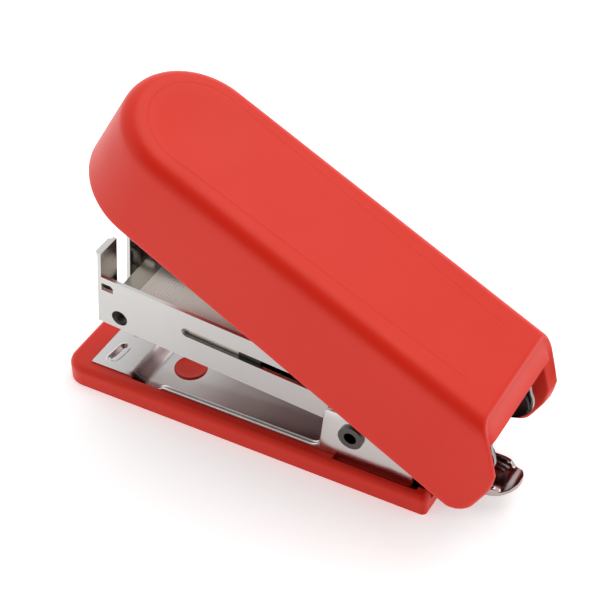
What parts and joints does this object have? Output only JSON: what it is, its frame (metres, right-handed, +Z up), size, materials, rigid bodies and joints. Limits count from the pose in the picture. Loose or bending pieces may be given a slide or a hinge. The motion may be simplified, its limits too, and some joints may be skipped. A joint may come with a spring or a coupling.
{
  "type": "mini stapler",
  "caption": "Pocket stapler with a red plastic base and round-nosed cover over a bright steel magazine, anvil plate and rear staple remover tongue.",
  "frame": {"origin": "on the table under the middle of the whole outline at rest", "axes": "+X towards the stapling end, +Y to the stapler's left, +Z up"},
  "size_m": [0.0874, 0.0264, 0.0641],
  "materials": {
    "red_plastic": "satin moulded red plastic",
    "bright_steel": "nickel plated pressed sheet, smooth",
    "dark_steel": "plated rivet steel",
    "spring_steel": "drawn spring wire and strip",
    "staple_wire": "glued galvanised staple wire",
    "black_plastic": "moulded black plastic"
  },
  "bodies": {
    "base": {"base_cover": "red_plastic", "base_plate": "bright_steel", "hinge_pin": "dark_steel", "return_spring": "spring_steel", "spring_rivet": "dark_steel"},
    "magazine_unit": {"magazine": "bright_steel", "staple_rail": "bright_steel", "guide_rod": "dark_steel", "rod_rear_holder": "bright_steel", "rod_front_holder": "bright_steel", "cover_pivot_pin": "dark_steel", "pusher_spring": "spring_steel", "cover_spring": "spring_steel"},
    "strip": {"staple_strip": "staple_wire"},
    "pusher_unit": {"pusher": "black_plastic"},
    "cover_unit": {"top_cover": "red_plastic", "cover_frame": "bright_steel", "driver_blade": "spring_steel", "blade_rivets": "dark_steel", "cover_spring_arm": "spring_steel"}
  },
  "joints": [
    {"name": "magazine_pivot", "type": "hinge", "parent": "base", "child": "magazine_unit", "pos_m": [-0.0152, 0, 0.01], "axis": [0, 1, 0], "range_deg": [0, 11], "stiffness_Nm_per_rad": 0.25, "springref_deg": -8.59, "deforming": ["return_spring"]},
    {"name": "cover_pivot", "type": "hinge", "parent": "magazine_unit", "child": "cover_unit", "pos_m": [-0.03736, 0, 0.01577], "axis": [0, 1, 0], "range_deg": [0, 22.8], "stiffness_Nm_per_rad": 0.12, "springref_deg": -14.32},
    {"name": "pusher_slide", "type": "slide", "parent": "magazine_unit", "child": "pusher_unit", "axis": [0.9965, 0, 0.0837], "range_m": [-0.01, 0], "stiffness_N_per_m": 40, "springref_m": 0.012, "deforming": ["pusher_spring"]},
    {"name": "strip_slide", "type": "slide", "parent": "magazine_unit", "child": "strip", "axis": [0.9965, 0, 0.0837], "range_m": [0, 0.0036]}
  ]
}
